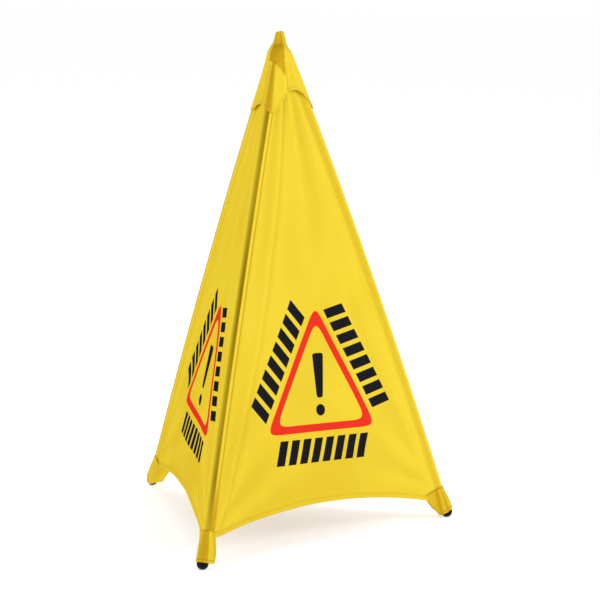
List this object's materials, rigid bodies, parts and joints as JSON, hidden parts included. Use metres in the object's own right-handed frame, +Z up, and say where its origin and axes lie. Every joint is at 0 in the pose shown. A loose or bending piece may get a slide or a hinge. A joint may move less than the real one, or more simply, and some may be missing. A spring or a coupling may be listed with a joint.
{
  "type": "wet floor sign",
  "caption": "Free-standing three-sided pop-up floor sign: a yellow sewn cloth cone over a spring-open folding tripod with ball feet, an outer hood and a printed hazard mark.",
  "frame": {"origin": "on the floor, at the tripod's axis, midway between the three feet", "axes": "+Z up along the tripod's axis; leg 1 stands towards -Y, leg 2 towards +X and a little +Y, leg 3 towards -X and a little +Y"},
  "size_m": [0.536, 0.467, 0.787],
  "materials": {
    "yellow_cloth": "woven nylon-like cloth with a slight sheen",
    "black_foot": "glossy",
    "moulded_grey": "moulded, fine texture",
    "fibreglass": "pultruded, dark, satin",
    "zinc_steel": "zinc plated",
    "spring_steel": "drawn wire"
  },
  "bodies": {
    "hub": {"top_hub": "moulded_grey", "hub_cap": "moulded_grey", "cap_screw": "zinc_steel", "hinge_pins": "zinc_steel", "cover_panel_1": "yellow_cloth", "cover_panel_2": "yellow_cloth", "cover_panel_3": "yellow_cloth", "hood": "yellow_cloth", "pull_tab": "yellow_cloth"},
    "leg_1": {"torsion_spring_1": "spring_steel", "leg_socket_1": "moulded_grey", "leg_rod_1": "fibreglass", "rod_rivet_1": "zinc_steel", "foot_tip_1": "black_foot", "leg_sleeve_1": "yellow_cloth", "corner_pocket_1": "yellow_cloth"},
    "leg_2": {"torsion_spring_2": "spring_steel", "leg_socket_2": "moulded_grey", "leg_rod_2": "fibreglass", "rod_rivet_2": "zinc_steel", "foot_tip_2": "black_foot", "leg_sleeve_2": "yellow_cloth", "corner_pocket_2": "yellow_cloth"},
    "leg_3": {"torsion_spring_3": "spring_steel", "leg_socket_3": "moulded_grey", "leg_rod_3": "fibreglass", "rod_rivet_3": "zinc_steel", "foot_tip_3": "black_foot", "leg_sleeve_3": "yellow_cloth", "corner_pocket_3": "yellow_cloth"}
  },
  "joints": [
    {"name": "leg_1_fold", "type": "hinge", "parent": "hub", "child": "leg_1", "pos_m": [0, -0.014, 0.753], "axis": [1, 0, 0], "range_deg": [0, 20], "stiffness_Nm_per_rad": 0.35, "springref_deg": -68.75, "deforming": ["torsion_spring_1"]},
    {"name": "leg_2_fold", "type": "hinge", "parent": "hub", "child": "leg_2", "pos_m": [0.01212, 0.007, 0.753], "axis": [-0.5, 0.866, 0], "range_deg": [0, 20], "stiffness_Nm_per_rad": 0.35, "springref_deg": -68.75, "deforming": ["torsion_spring_2"]},
    {"name": "leg_3_fold", "type": "hinge", "parent": "hub", "child": "leg_3", "pos_m": [-0.01212, 0.007, 0.753], "axis": [-0.5, -0.866, 0], "range_deg": [0, 20], "stiffness_Nm_per_rad": 0.35, "springref_deg": -68.75, "deforming": ["torsion_spring_3"]}
  ]
}
